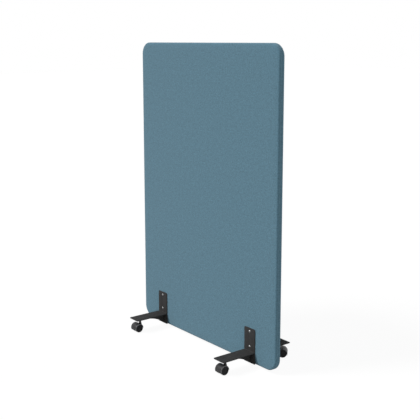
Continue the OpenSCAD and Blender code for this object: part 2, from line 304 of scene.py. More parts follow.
view = {
    "place": (2.9486, -2.2859, 1.4233),
    "turn": 51.965,
    "tilt": 9.708,  # downwards
    "lens": 70.31,
    "sensor": 36,
    "shiftY": -0.07,
}
bpy.ops.object.camera_add(
    location=view["place"],
    rotation=(math.radians(90 - view["tilt"]), 0, math.radians(view["turn"])),
)
camera = bpy.context.object
camera.data.lens = view["lens"]
camera.data.sensor_width = view["sensor"]
camera.data.shift_y = view["shiftY"]
bpy.context.scene.camera = camera
print("camera set")


# Fabric: a plain weave on the cloth's own map, with lighter and darker fibres spun into it

fabric = {
    "pitch": 1.7,  # between neighbouring yarns
    "sway": 0.35,  # how far a yarn wanders, in parts of the pitch
    "swayScale": (60, 47),
    "warp": (0.101, 0.209, 0.275),
    "weft": (0.088, 0.184, 0.245),
    "yarnTone": (0.86, 1.14),  # from one yarn to another
    "toneScale": 0.83,
    "toneRun": 0.12,  # how fast that tone changes along a yarn
    "fleckLight": (0.163, 0.287, 0.350),
    "fleckDark": (0.053, 0.132, 0.186),
    "fibre": (900, 380),  # noise scale across and along a fibre
    "fibreShare": (-0.6, 0.5),
    "mottle": (0.84, 1.16),
    "mottleScale": 150,
    "cloud": (0.96, 1.04),
    "cloudScale": 45,
    "gapShade": (0.35, 0.72),  # what a yarn's height adds to the colour, and what a gap keeps
    "roughness": 0.92,
    "specular": 0.15,
    "sheen": 0.12,
    "sheenRough": 0.6,
    "fuzz": 0.35,
    "fuzzScale": 2600,
    "weaveDepth": 0.22,
}


def wander(tree, value, place, scale):  # lets the yarns run a little out of line
    sway = spread(tree, addNoise(tree, place, scale, 1), -fabric["sway"], fabric["sway"])
    return calc(tree, "ADD", value, sway)


def yarnArch(tree, along):  # 0 at the edges of a yarn and 1 on top of it
    centred = calc(tree, "SUBTRACT", calc(tree, "MULTIPLY", calc(tree, "FRACT", along), 2), 1)
    square = calc(tree, "MULTIPLY", centred, centred)
    return calc(tree, "SQRT", calc(tree, "SUBTRACT", 1, square))


def yarnLift(tree, along, across, offset):  # 1 where a yarn passes over and 0 where it dives
    row = calc(tree, "ADD", calc(tree, "FLOOR", across), offset)
    wave = calc(tree, "SINE", calc(tree, "MULTIPLY", calc(tree, "ADD", along, row), math.pi))
    return calc(tree, "ADD", calc(tree, "MULTIPLY", wave, 0.5), 0.5)


def yarnColour(tree, colour, x, y):  # each yarn's own tone, which changes slowly along it
    tone = addNoise(tree, combineXyz(tree, x, y), fabric["toneScale"], 3, 0.6)
    return tint(tree, colour, spread(tree, tone, *fabric["yarnTone"]))


def makeFabric():
    material, tree, shader = newMaterial("blueWovenFabric")
    uv = tree.nodes.new("ShaderNodeUVMap")
    uv.uv_map = "weave"
    place = uv.outputs[0]
    apart = tree.nodes.new("ShaderNodeSeparateXYZ")
    yarns = stretched(tree, place, (1 / (fabric["pitch"] * mm),) * 3)
    tree.links.new(yarns, apart.inputs[0])
    across = wander(tree, apart.outputs[0], place, fabric["swayScale"][0])
    along = wander(tree, apart.outputs[1], place, fabric["swayScale"][1])
    warp = calc(tree, "MULTIPLY", yarnArch(tree, across), yarnLift(tree, along, across, 0))
    weft = calc(tree, "MULTIPLY", yarnArch(tree, along), yarnLift(tree, across, along, 1))
    height = calc(tree, "MAXIMUM", warp, weft)
    isWarp = calc(tree, "GREATER_THAN", warp, weft)
    run = fabric["toneRun"]
    warpColour = yarnColour(tree, fabric["warp"], calc(tree, "FLOOR", across),
        calc(tree, "MULTIPLY", along, run))
    weftColour = yarnColour(tree, fabric["weft"], calc(tree, "MULTIPLY", across, run),
        calc(tree, "FLOOR", along))
    colour = mixColours(tree, isWarp, weftColour, warpColour)
    # spun fibres of a lighter and a darker dye
    fine, slow = fabric["fibre"]
    for scale, dye in (((fine, slow, fine), "fleckLight"), ((slow, fine, slow), "fleckDark")):
        fibres = addNoise(tree, stretched(tree, place, scale), 1, 2)
        share = calc(tree, "MAXIMUM", spread(tree, fibres, *fabric["fibreShare"]), 0)
        colour = mixColours(tree, share, colour, fabric[dye])
    patches = addNoise(tree, place, fabric["mottleScale"], 3, 0.6)
    clouds = addNoise(tree, place, fabric["cloudScale"], 2)
    mottle = calc(tree, "MULTIPLY", spread(tree, patches, *fabric["mottle"]),
        spread(tree, clouds, *fabric["cloud"]))
    lit, kept = fabric["gapShade"]
    gaps = calc(tree, "ADD", calc(tree, "MULTIPLY", height, lit), kept)
    feed(tree, shader, {
        "Base Color": tint(tree, colour, calc(tree, "MULTIPLY", mottle, gaps)),
        "Roughness": fabric["roughness"],
        "Specular IOR Level": fabric["specular"],
        "Sheen Weight": fabric["sheen"],
        "Sheen Roughness": fabric["sheenRough"],
    })
    fuzz = addNoise(tree, stretched(tree, place, (fabric["fuzzScale"],) * 3), 1, 2)
    bumps = calc(tree, "ADD", height, calc(tree, "MULTIPLY", fuzz, fabric["fuzz"]))
    addBump(tree, shader, bumps, fabric["weaveDepth"])
    return material


# Covers: a stretched skin with a soft edge, sewn to the other half along the middle of the edge

panel = {
    "width": 1000,
    "height": 1400,
    "gap": 13,  # under the panel
    "thick": 32,
    "corner": 55,
    "edge": 8,
    "cloth": 1.2,
    "foam": 4,
}
foot = {
    "x": 335,
    "width": 70,
    "plateTop": 173,
    "plateLow": 13,
    "steel": 4,
    "corner": 5,
}
cover = {
    "cell": 16,  # of the skin before it is subdivided
    "rimRows": 4,  # in the flat part of a corner
    "cornerSteps": 14,
    "edgeSteps": 5,
    "seam": ((0, 4.2), (0, 1.1), (0.35, 0.45), (1.1, 0)),  # in from the outline, off the middle
    "crown": 1.3,  # the most that the skin may swell
    "pressure": 2.2,
    "bending": 0.3,
    "frames": 20,
    "plateRings": (1.5, 8),  # rows of the skin round each bracket plate
    "pucker": 1.0,
    "folds": 7,  # in a quarter turn
    "foldWander": 2.2,
}
innerX = panel["width"] / 2 - panel["corner"]
lowZ = panel["gap"] + panel["corner"]
highZ = panel["gap"] + panel["height"] - panel["corner"]
faceY = panel["thick"] / 2
flatRim = panel["corner"] - panel["edge"]


def rimSteps():  # from the flat field outwards, then round the edge and back to the seam
    rows = cover["rimRows"]
    points = [(flatRim * part / rows, faceY) for part in range(rows + 1)]
    for step in range(1, cover["edgeSteps"] + 1):
        turn = math.pi / 2 * step / cover["edgeSteps"]
        points.append((flatRim + panel["edge"] * math.sin(turn),
            faceY - panel["edge"] + panel["edge"] * math.cos(turn)))
    points += [(panel["corner"] - inward, off) for inward, off in cover["seam"]]
    return [(b[0] - a[0], b[1] - a[1]) for a, b in zip(points, points[1:])]


def buildSkin():
    clearSelection()
    across = round(2 * innerX / cover["cell"])
    up = round((highZ - lowZ) / cover["cell"])
    bpy.ops.mesh.primitive_grid_add(
        x_subdivisions=across, y_subdivisions=up, size=1,
        location=(0, -faceY * mm, (lowZ + highZ) / 2 * mm), rotation=(math.radians(90), 0, 0),
    )
    skin = bpy.context.object
    skin.scale = (2 * innerX * mm, (highZ - lowZ) * mm, 1)
    settle(skin, "skin")
    steps = rimSteps()
    for side in (1, -1):  # the two upright edges, then the upper and the lower one
        selectParts(skin, "EDGE", lambda a, b: near(a.x, side * innerX)
            and near(b.x, side * innerX) and near(a.y, -faceY) and near(b.y, -faceY)
            and lowZ - 0.1 < min(a.z, b.z) and max(a.z, b.z) < highZ + 0.1)
        extrudeRun([(side * out, -back, 0) for out, back in steps])
        leaveEdit()
        level = highZ if side > 0 else lowZ
        selectParts(skin, "EDGE", lambda a, b: near(a.z, level) and near(b.z, level)
            and near(a.y, -faceY) and near(b.y, -faceY)
            and max(abs(a.x), abs(b.x)) < innerX + 0.1)
        extrudeRun([(0, -back, side * out) for out, back in steps])
        leaveEdit()
    # each corner is the end of an upright edge turned about the corner's centre
    for side in (1, -1):
        for level, rise in ((highZ, 1), (lowZ, -1)):
            selectParts(skin, "EDGE", lambda a, b: near(a.z, level) and near(b.z, level)
                and side * a.x > innerX - 0.1 and side * b.x > innerX - 0.1)
            bpy.ops.mesh.spin(
                steps=cover["cornerSteps"], angle=math.pi / 2,
                center=(side * innerX * mm, 0, level * mm), axis=(0, side * rise, 0),
            )
            leaveEdit()
    closeUp(skin, 0.02)
    return skin


def refineAtPlates(skin):  # closer rows round the bracket plates, where the foam gives way
    for ring in cover["plateRings"]:
        for side in (-1, 1):
            for edge in (-1, 1):
                x = side * foot["x"] + edge * (foot["width"] / 2 + ring)
                bisectAt(skin, (x, 0, 0), (1, 0, 0))
        bisectAt(skin, (0, 0, foot["plateTop"] + ring), (0, 0, 1))


def isHeld(point):  # the soft edge, and what the plates press on
    x, y, z = point
    besidePlate = abs(abs(x) - foot["x"]) < foot["width"] / 2 + 1
    return y > -faceY + 0.1 or (besidePlate and z < foot["plateTop"] + 1)


def swell(skin):  # the foam pushes the cloth out between what holds it
    before = [vertex.co.copy() for vertex in skin.data.vertices]
    held = [index for index, place in enumerate(before) if isHeld(place / mm)]
    skin.vertex_groups.new(name="held").add(held, 1, "REPLACE")
    cloth = skin.modifiers.new("cloth", "CLOTH")
    cloth.settings.vertex_group_mass = "held"
    cloth.settings.use_pressure = True
    cloth.settings.uniform_pressure_force = cover["pressure"]
    cloth.settings.effector_weights.gravity = 0
    cloth.settings.bending_stiffness = cover["bending"]
    cloth.collision_settings.use_collision = False
    scene = bpy.context.scene
    for step in range(1, cover["frames"] + 1):
        scene.frame_set(step)
    applyModifiers(skin)
    scene.frame_set(1)
    skin.vertex_groups.clear()
    crown = cover["crown"] * mm
    for vertex, start in zip(skin.data.vertices, before):
        out = max(0, start.y - vertex.co.y)
        vertex.co = start + Vector((0, -crown * math.tanh(out / crown), 0))


# The nearest place on the inner field, the way out from there, and how far over the soft edge
# the point lies, from 0 to 1
def aroundEdge(point):
    field = Vector((max(-innerX, min(innerX, point.x)), max(lowZ, min(highZ, point.z))))
    out = Vector((point.x, point.z)) - field
    return field, out, max(0, min(1, (out.length - flatRim) / panel["edge"]))


def pucker(skin):  # the cloth gathers a little where it goes round the four corners
    for vertex in skin.data.vertices:
        field, out, soft = aroundEdge(vertex.co / mm)
        if soft == 0 or min(abs(out.x), abs(out.y)) < 1:
            continue
        turn = math.atan2(out.y, out.x)
        stray = cover["foldWander"] * noise.noise((turn * 3, field.x, field.y))
        fold = math.cos(turn * cover["folds"] * 4 + stray)
        middle = math.sin(2 * turn) ** 2  # no fold at either end of a corner
        depth = cover["pucker"] * mm * soft * middle * (0.5 - 0.5 * fold)
        inward = -out.normalized() * depth
        vertex.co += Vector((inward.x, 0, inward.y))


def layWeave(piece):  # the cloth's own map, in metres, running on from the face round the edge
    layer = piece.data.uv_layers.new(name="weave")
    places = []
    for vertex in piece.data.vertices:
        point = vertex.co / mm
        field, out = aroundEdge(point)[:2]
        depth = max(0, faceY - abs(point.y))
        reach = out.length
        if reach > flatRim:
            turn = math.atan2(reach - flatRim, max(0.01, panel["edge"] - depth))
            over = panel["edge"] * min(turn, math.pi / 2)
            reach = flatRim + over + max(0, depth - panel["edge"])
        direction = out.normalized() if out.length > 0.01 else Vector((0, 0))
        places.append((field + direction * reach) * mm)
    for loop in piece.data.loops:
        layer.data[loop.index].uv = places[loop.vertex_index]


def thicken(piece, thickness):
    modifier = piece.modifiers.new("wall", "SOLIDIFY")
    modifier.thickness = thickness * mm
    modifier.offset = -1
    applyModifiers(piece)


def buildCovers(material):
    skin = buildSkin()
    refineAtPlates(skin)
    swell(skin)
    modifier = skin.modifiers.new("fine", "SUBSURF")
    modifier.levels = modifier.render_levels = 1
    applyModifiers(skin)
    pucker(skin)
    front = copyTo(skin, "frontCover", (0, 0, 0))
    rear = copyTo(skin, "rearCover", (0, 0, 0), 180)
    remove(skin)
    for piece, node, pad in ((front, "front_cover", "frontPad"), (rear, "rear_cover", "rearPad")):
        thicken(piece, panel["cloth"])
        layWeave(piece)
        smooth(piece, 60)
        finishPiece(piece, material, "panel", [node])
    print("covers made")


# Foam pads under the covers

foam = {
    "colour": (0.72, 0.66, 0.48),
    "cloud": (0.9, 1.08),
    "cloudScale": 9,
    "cell": 1.6,
    "poreShade": (0.3, 0.8),  # what a cell's rim adds to the colour, and what its middle keeps
    "poreDepth": 0.4,
    "roughness": 0.95,
    "inset": 3.5,  # from the panel's outline, which keeps it inside the cover's soft edge
}


def makeFoam():
    material, tree, shader = newMaterial("creamFoam")
    place = objectPlace(tree)
    cells = addCells(tree, place, foam["cell"])
    tone = spread(tree, addNoise(tree, place, foam["cloudScale"], 3), *foam["cloud"])
    lit, kept = foam["poreShade"]
    pores = calc(tree, "ADD", calc(tree, "MULTIPLY", cells, lit), kept)
    colour = tint(tree, foam["colour"], calc(tree, "MULTIPLY", tone, pores))
    feed(tree, shader, {"Base Color": colour, "Roughness": foam["roughness"]})
    addBump(tree, shader, cells, foam["poreDepth"])
    return material


def buildPads(material):
    inset = foam["inset"]
    outer = -faceY + panel["cloth"]
    inner = faceY - panel["cloth"] - panel["foam"]
    pad = addBlock(
        (-panel["width"] / 2 + inset, outer, panel["gap"] + inset),
        (panel["width"] / 2 - inset, -inner, panel["gap"] + panel["height"] - inset),
    )
    roundSome(pad, lambda a, b: near(a.x, b.x) and near(a.z, b.z), panel["corner"] - inset, 14)
    roundSome(pad, lambda a, b: near(a.y, outer) and near(b.y, outer), panel["foam"] - 0.02, 5)
    front = copyTo(pad, "frontPad", (0, 0, 0))
    rear = copyTo(pad, "rearPad", (0, 0, 0), 180)
    remove(pad)
    for piece, node in ((front, "front_pad"), (rear, "rear_pad")):
        smooth(piece, 35)
        finishPiece(piece, material, "panel", [node])
    print("pads made")


# Timber, blocks and felt inside the panel keep their shapes and get their own finish

timber = {
    "softPale": (0.60, 0.40, 0.21),
    "softDark": (0.42, 0.25, 0.11),
    "hardPale": (0.40, 0.22, 0.10),
    "hardDark": (0.26, 0.13, 0.055),
    "ring": 7,  # between growth rings
    "ringScale": 0.16,
    "ringWander": 3.5,
    "lengthwise": 0.035,  # the pattern's scale along the grain, beside that across it
    "fibreTone": (0.86, 1.1),
    "roughness": (0.55, 0.7),
    "grainDepth": 0.15,
}
felt = {
    "colour": (0.42, 0.42, 0.40),
    "fibre": (420, 420, 900),
    "fibreTone": (0.8, 1.12),
    "clump": (0.88, 1.08),
    "clumpScale": 35,
    "roughness": 0.98,
    "sheen": 0.2,
    "fibreDepth": 0.5,
}


def makeWood(name, pale, dark, along):
    material, tree, shader = newMaterial(name)
    scale = [1 / (timber["ring"] * mm)] * 3
    scale[along] *= timber["lengthwise"]
    place = stretched(tree, objectPlace(tree), scale)
    rings = tree.nodes.new("ShaderNodeTexWave")
    rings.wave_type = "RINGS"
    rings.rings_direction = "XYZ"[along]
    feed(tree, rings, {"Vector": place, "Scale": timber["ringScale"],
        "Distortion": timber["ringWander"], "Detail": 2, "Detail Scale": 0.6})
    fibres = addNoise(tree, stretched(tree, place, (5, 5, 5)), 1, 4, 0.6)
    colour = mixColours(tree, rings.outputs["Fac"], pale, dark)
    feed(tree, shader, {
        "Base Color": tint(tree, colour, spread(tree, fibres, *timber["fibreTone"])),
        "Roughness": spread(tree, fibres, *timber["roughness"]),
    })
    addBump(tree, shader, fibres, timber["grainDepth"])
    return material


def makeFelt():
    material, tree, shader = newMaterial("pressedFelt")
    place = objectPlace(tree)
    fibres = addNoise(tree, stretched(tree, place, felt["fibre"]), 1, 4, 0.7)
    clumps = spread(tree, addNoise(tree, place, felt["clumpScale"], 3), *felt["clump"])
    tone = calc(tree, "MULTIPLY", clumps, spread(tree, fibres, *felt["fibreTone"]))
    feed(tree, shader, {"Base Color": tint(tree, felt["colour"], tone),
        "Roughness": felt["roughness"], "Sheen Weight": felt["sheen"]})
    addBump(tree, shader, fibres, felt["fibreDepth"])
    return material


def dressNodes(names, material):
    for name in names:
        for slot in nodes[name].material_slots:
            slot.material = material


def dressInside():
    upright = makeWood("softwoodUpright", timber["softPale"], timber["softDark"], 2)
    level = makeWood("softwoodLevel", timber["softPale"], timber["softDark"], 0)
    hard = makeWood("hardwoodBlock", timber["hardPale"], timber["hardDark"], 2)
    dressNodes(("left_stile", "right_stile"), upright)
    dressNodes(("top_rail", "mid_rail", "bottom_rail", "frame_dowels"), level)
    dressNodes(("left_block", "right_block"), hard)
    dressNodes(("upper_core", "lower_core"), makeFelt())
    print("inside dressed")


# Metal and plastic finishes

powder = {
    "colour": (0.040, 0.0395, 0.0395),
    "worn": (0.050, 0.049, 0.049),
    "wear": (0, 0.8),
    "wearScale": 120,
    "wearReach": 0.5,  # in from an edge
    "cloud": (0.93, 1.07),
    "cloudScale": 28,
    "roughness": (0.66, 0.76),
    "specular": 0.05,
    "peelScale": 900,
    "gritScale": 2600,
    "grit": 0.25,
    "peelDepth": 0.05,
}
steel = {
    "finishes": {  # colour, roughness, and the noise scale of the brushing
        "brightSteel": ((0.25, 0.25, 0.255), 0.38, (300, 300, 300)),
        "zincPlate": ((0.50, 0.51, 0.52), 0.36, (200, 200, 200)),
        "blackenedSteel": ((0.060, 0.060, 0.063), 0.4, (400, 400, 60)),
    },
    "smoother": 0.06,  # how far the roughness goes below and above its middle value
    "rougher": 0.08,
    "cloud": (0.92, 1.06),
    "cloudScale": 160,
    "brushDepth": 0.01,
}
nylon = {
    "finishes": {  # colour, colour of the rubbed rim with a painted highlight on it, roughness and specular
        "hoodNylon": ((0.028, 0.028, 0.029), (0.25, 0.25, 0.255), 0.38, 0.2),
        "wheelNylon": ((0.013, 0.013, 0.014), (0.085, 0.085, 0.088), 0.45, 0.12),
    },
    "smoother": 0.05,
    "rougher": 0.12,
    "cloud": (0.88, 1.12),
    "cloudScale": 60,
    "scuff": (90, 300, 300),
    "scuffShare": (0.6, 1),
    "pebble": 0.7,
    "pebbleDepth": 0.03,
}


def edgeShare(tree, radius):  # near 1 on the edges of a piece and 0 on its faces
    rounded = tree.nodes.new("ShaderNodeBevel")
    rounded.samples = 4
    rounded.inputs["Radius"].default_value = radius * mm
    flat = tree.nodes.new("ShaderNodeNewGeometry")
    dot = tree.nodes.new("ShaderNodeVectorMath")
    dot.operation = "DOT_PRODUCT"
    feed(tree, dot, {0: rounded.outputs[0], 1: flat.outputs["Normal"]})
    edge = calc(tree, "MULTIPLY", calc(tree, "SUBTRACT", 1, dot.outputs["Value"]), 5)
    return calc(tree, "MINIMUM", edge, 1)


def makePowderCoat():
    material, tree, shader = newMaterial("blackPowderCoat")
    place = objectPlace(tree)
    cloud = addNoise(tree, place, powder["cloudScale"], 3)
    peel = addNoise(tree, place, powder["peelScale"], 2, 0.4)
    grit = addNoise(tree, place, powder["gritScale"], 1)
    patches = spread(tree, addNoise(tree, place, powder["wearScale"], 3), *powder["wear"])
    wear = calc(tree, "MULTIPLY", edgeShare(tree, powder["wearReach"]), patches)
    colour = mixColours(tree, wear, powder["colour"], powder["worn"])
    feed(tree, shader, {
        "Base Color": tint(tree, colour, spread(tree, cloud, *powder["cloud"])),
        "Roughness": spread(tree, cloud, *powder["roughness"]),
        "Specular IOR Level": powder["specular"],
    })
    texture = calc(tree, "ADD", peel, calc(tree, "MULTIPLY", grit, powder["grit"]))
    addBump(tree, shader, texture, powder["peelDepth"])
    return material


def makeSteel(name):
    material, tree, shader = newMaterial(name)
    colour, roughness, brush = steel["finishes"][name]
    place = objectPlace(tree)
    streaks = addNoise(tree, stretched(tree, place, brush), 1, 3, 0.6)
    cloud = spread(tree, addNoise(tree, place, steel["cloudScale"], 2), *steel["cloud"])
    rough = spread(tree, streaks, roughness - steel["smoother"], roughness + steel["rougher"])
    feed(tree, shader, {
        "Base Color": tint(tree, colour, cloud), "Metallic": 1, "Roughness": rough})
    addBump(tree, shader, streaks, steel["brushDepth"])
    return material


def makeNylon(name):  # lighter where the mesh's marked share is 1: rubbed wear with a painted highlight on it
    material, tree, shader = newMaterial(name)
    colour, rubbedAndHighlit, roughness, specular = nylon["finishes"][name]
    place = objectPlace(tree)
    cloud = spread(tree, addNoise(tree, place, nylon["cloudScale"], 3), *nylon["cloud"])
    scuff = addNoise(tree, stretched(tree, place, nylon["scuff"]), 1, 4, 0.65)
    wearAndHighlight = tree.nodes.new("ShaderNodeAttribute")
    wearAndHighlight.attribute_name = "wearAndHighlight"
    # scuff noise breaks up the rubbed wear and painted highlight
    worn = spread(tree, scuff, *nylon["scuffShare"])
    share = calc(tree, "MULTIPLY", wearAndHighlight.outputs["Fac"], worn)
    mixed = mixColours(tree, share, colour, rubbedAndHighlit)
    rough = spread(tree, scuff, roughness - nylon["smoother"], roughness + nylon["rougher"])
    feed(tree, shader, {"Base Color": tint(tree, mixed, cloud), "Roughness": rough,
        "Specular IOR Level": specular})
    addBump(tree, shader, addCells(tree, place, nylon["pebble"]), nylon["pebbleDepth"])
    return material


def markWearAndHighlight(piece, share):  # marks rubbed wear with a painted highlight; share goes by the distance sideways and the one from the axle
    layer = piece.data.attributes.new("wearAndHighlight", "FLOAT", "POINT")
    for vertex in piece.data.vertices:
        x, y, z = vertex.co / mm
        layer.data[vertex.index].value = max(0, min(1, share(abs(x), math.hypot(y, z))))


# Foot brackets: a plate, an arm and a curved rib, welded and powder coated

bracket = {
    "armReach": 180,
    "armLow": 63,
    "ribThick": 5,
    "ribReach": 108,
    "ribLow": 15,
    "archCentre": -117.22,
    "archRadius": 168.22,
    "screwHeights": (88, 158),
    "screwHole": 4.2,
    "stemReach": 142,
    "stemHole": 4.05,
    "edgeRound": 0.7,
    "ribRound": 0.5,
    "sunk": 0.4,  # how deep welded parts run into each other
    "bead": 2.1,  # radius of the weld along the arm
    "beadHalf": 30,
    "ribBead": 1.3,
    "ribBeadEnd": 96,
    "ribBeadLow": 22,
    "ripple": (0.93, 1.06),  # a weld's size at each even and odd step
    "beadEnd": 0.55,
}


def weldBead(start, end, radius):  # a rod with a ripple for each step of the weld
    start, end = Vector(start), Vector(end)
    bead = addRod(radius, start, end, 14)
    editAll(bead)
    bpy.ops.mesh.normals_make_consistent(inside=False)
    leaveEdit()
    run = (end - start).normalized()
    steps = 2 * round((end - start).length / (radius * 0.9))
    for step in range(1, steps):
        bisectAt(bead, start + (end - start) * step / steps, run)
    for step in range(steps + 1):
        middle = start + (end - start) * step / steps
        factor = bracket["beadEnd"] if step in (0, steps) else bracket["ripple"][step % 2]
        selectParts(bead, "VERT", lambda point: abs((point - middle).dot(run)) < 0.05)
        bpy.ops.transform.resize(value=(factor,) * 3, center_override=middle * mm)
        leaveEdit()
    smooth(bead, 60)
    return bead


def buildBracket():
    half, face, sunk = foot["width"] / 2, -foot["steel"], bracket["sunk"]
    low, high = bracket["armLow"], bracket["armLow"] + foot["steel"]
    plate = addBlock((-half, face, foot["plateLow"]), (half, 0, foot["plateTop"]))
    roundSome(plate, lambda a, b: near(a.x, b.x) and near(a.z, b.z)
        and near(a.z, foot["plateTop"]), foot["corner"])
    for height in bracket["screwHeights"]:
        hole = addRod(bracket["screwHole"], (0, -9, height), (0, 5, height))
        combine(plate, hole, "DIFFERENCE")
    arm = addBlock((-half, -bracket["armReach"], low), (half, face + sunk, high))
    roundSome(arm, lambda a, b: near(a.x, b.x) and near(a.y, b.y)
        and near(a.y, -bracket["armReach"]), foot["corner"])
    stemY = -bracket["stemReach"]
    combine(arm, addRod(bracket["stemHole"], (0, stemY, 50), (0, stemY, 80)), "DIFFERENCE")
    thick = bracket["ribThick"] / 2
    rib = addBlock((-thick, -bracket["ribReach"], bracket["ribLow"]),
        (thick, face + sunk, low + sunk))
    centre = (-bracket["ribReach"], bracket["archCentre"])
    arch = addRod(bracket["archRadius"], (-20, *centre), (20, *centre), 256)
    combine(rib, arch, "DIFFERENCE")
    for part in (plate, arm, rib):
        roundEdges(part, bracket["ribRound" if part is rib else "edgeRound"], 3, 50)
        smooth(part, 32)
    end = bracket["beadHalf"]
    beads = [weldBead((-end, face - sunk, high + sunk), (end, face - sunk, high + sunk),
        bracket["bead"])]
    for side in (-1, 1):
        x = side * (thick + 0.25)
        under, tip = low - 0.3, -bracket["ribBeadEnd"]
        beads.append(weldBead((x, face - 4, under), (x, tip, under), bracket["ribBead"]))
        beads.append(weldBead((x, face - 0.3, bracket["ribBeadLow"]), (x, face - 0.3, low - 4),
            bracket["ribBead"]))
    return joinPieces([plate, arm, rib, *beads], "bracket")


def atFoot(corner):  # place and turn of a foot: the panel's face, under the plate
    side = -1 if corner[1] == "l" else 1
    front = corner[0] == "f"
    return (side * foot["x"], -faceY if front else faceY, 0), 0 if front else 180


def buildBrackets(material):
    model = buildBracket()
    for corner in corners:
        piece = copyTo(model, "bracket_" + corner, *atFoot(corner))
        finishPiece(piece, material, "panel", ["foot_bracket_" + corner])
    remove(model)
    print("brackets made")


# Screws from the front, and the sleeve nuts that they turn into

screw = {
    "head": 6,
    "rise": 3,
    "dome": 7.5,
    "socket": 2.3,
    "socketDeep": 1.6,
    "shank": 3,
    "shankLong": 28,
    "barrel": 4,
    "barrelLong": 35,
    "bore": 3.05,
    "boreRoom": 0.2,  # past the shank's end
    "edgeRound": 0.25,
}


def domedHead():  # its flat side at y 0, and its dome towards -y
    middle = screw["dome"] - screw["rise"]
    clearSelection()
    bpy.ops.mesh.primitive_uv_sphere_add(
        segments=72, ring_count=48, radius=screw["dome"] * mm, location=(0, middle * mm, 0),
        rotation=(math.radians(90), 0, 0),
    )
    head = settle(bpy.context.object, "head")
    bisectAt(head, (0, 0, 0), (0, 1, 0), True)
    rim = addRod(screw["head"], (0, -9, 0), (0, 3, 0), 72)
    combine(head, rim, "INTERSECT")
    hexagon = addRod(screw["socket"], (0, -9, 0), (0, -screw["rise"] + screw["socketDeep"], 0), 6)
    combine(head, hexagon, "DIFFERENCE")
    return head


def buildFasteners(material):
    deep, tip = screw["shankLong"] + screw["boreRoom"], screw["barrelLong"]
    bolt = domedHead()
    combine(bolt, addRod(screw["shank"], (0, -0.5, 0), (0, screw["shankLong"], 0)), "UNION")
    nut = domedHead()
    combine(nut, addRod(screw["barrel"], (0, -0.5, 0), (0, tip, 0)), "UNION")
    combine(nut, addRod(screw["bore"], (0, tip - deep, 0), (0, tip + 1, 0)), "DIFFERENCE")
    outer = faceY + foot["steel"]
    for model, name, node, y, turn in (
        (bolt, "bracketScrews", "bracket_screws", -outer, 0),
        (nut, "sleeveNuts", "sleeve_nuts", outer, 180),
    ):
        roundEdges(model, screw["edgeRound"], 2, 28)
        smooth(model, 28)
        copies = [copyTo(model, name, (side * foot["x"], y, height), turn)
            for side in (-1, 1) for height in bracket["screwHeights"]]
        remove(model)
        finishPiece(joinPieces(copies, name), material, "panel", [node])
    print("fasteners made")


# Caster stems

stem = {
    "radius": 4,
    "low": 25.2,
    "high": 66.7,
    "hexagon": 6.25,
    "hexagonLow": 60,
    "hexagonHigh": 63,
    "cone": 0.985,  # of the hexagon's size; its chamfer turns the hexagon's corners down
    "coneChamfer": 1.35,
    "groove": 29,
    "grooveWide": 1.1,
    "grooveDeep": 0.7,
    "chamfer": 0.6,
    "edgeRound": 0.12,
}


def buildStems(material):
    low, high = stem["low"], stem["high"]
    rod = addRod(stem["radius"], (0, 0, low), (0, 0, high))
    roundSome(rod, lambda a, b: near(a.z, b.z) and (near(a.z, low) or near(a.z, high)),
        stem["chamfer"], 1)
    half = stem["grooveWide"] / 2
    for height in (stem["groove"] - half, stem["groove"] + half):
        bisectAt(rod, (0, 0, height), (0, 0, 1))
    selectParts(rod, "FACE", lambda centre, normal: near(centre.z, stem["groove"], 0.1)
        and abs(normal.z) < 0.5)
    bpy.ops.mesh.extrude_region_shrink_fatten(
        TRANSFORM_OT_shrink_fatten={"value": -stem["grooveDeep"] * mm})
    leaveEdit()
    low, high = stem["hexagonLow"], stem["hexagonHigh"]
    collar = addRod(stem["hexagon"], (0, 0, low), (0, 0, high), 6)
    cone = addRod(stem["hexagon"] * stem["cone"], (0, 0, low - 1), (0, 0, high + 1), 64)
    roundSome(cone, lambda a, b: near(a.z, b.z), stem["coneChamfer"], 1)
    combine(collar, cone, "INTERSECT")
    combine(rod, collar, "UNION")
    roundEdges(rod, stem["edgeRound"], 2, 25)
    smooth(rod, 30)
    for corner in corners:
        piece = copyTo(rod, "stemRod_" + corner, (*atStem(corner), 0))
        finishPiece(piece, material, "panel", ["stem_" + corner])
    remove(rod)
    print("stems made")


# Casters: a moulded hood over two wheels. The axle's middle is at 0 and the stem is 17 behind it.

caster = {
    "axleHigh": 20,
    "trail": 17,
    "turned": {"rr": -45},  # from trailing straight out
    "sweep": 203,
    "bore": 21.2,
    "outer": 23,
    "halfWide": 21.5,
    "shoulder": 1.4,
    "rim": 1.6,
    "rimDeep": 0.6,
    "web": 3,  # half the wall between the wheels
    "webLow": 4,
    "skin": 0.9,  # how far the inner parts stop below the hood's outside
    "boss": 6.5,
    "bossHalf": 6.3,
    "neck": 5.75,
    "neckLow": -3,
    "neckTop": 29.5,
    "flare": 8.75,
    "flareSlim": 0.06,  # how far its upper end stays inside the neck
    "flareLow": 11.5,
    "flareHigh": 26.25,
    "socket": 4.05,
    "socketLow": 5,
    "ringGroove": (4.8, 8.25, 9.75),  # radius, low and high, round the stem's split ring
    "axle": 2.5,
    "edgeRound": 0.2,
    # width over which the painted highlight and rubbed wear fade in at the rims
    "wearAndHighlightWide": 0.6,
}
wheel = {
    "radius": 20,
    "inner": 6.5,
    "outer": 21.5,
    "treadWall": 3.5,
    "treadRound": 2,
    "recess": 2.5,
    "disc": 2.5,
    "hub": 5.5,
    "ring": (13.2, 10.8),  # a raised ring on the disc
    "ringRise": 0.5,
    "cap": 7,
    "capRise": 1.2,
    "ribs": 6,
    "ribThick": 1.5,
    "ribFrom": 8.5,
    "bore": 2.55,
    "wearAndHighlightFrom": 1.2,  # out from the tread's inner side, where the lighter rubbed wear and painted highlight begin
    "wearAndHighlightWide": 0.8,
}


def atStem(corner):
    (x, y, z), turn = atFoot(corner)
    return x, y + bracket["stemReach"] * (-1 if turn == 0 else 1)


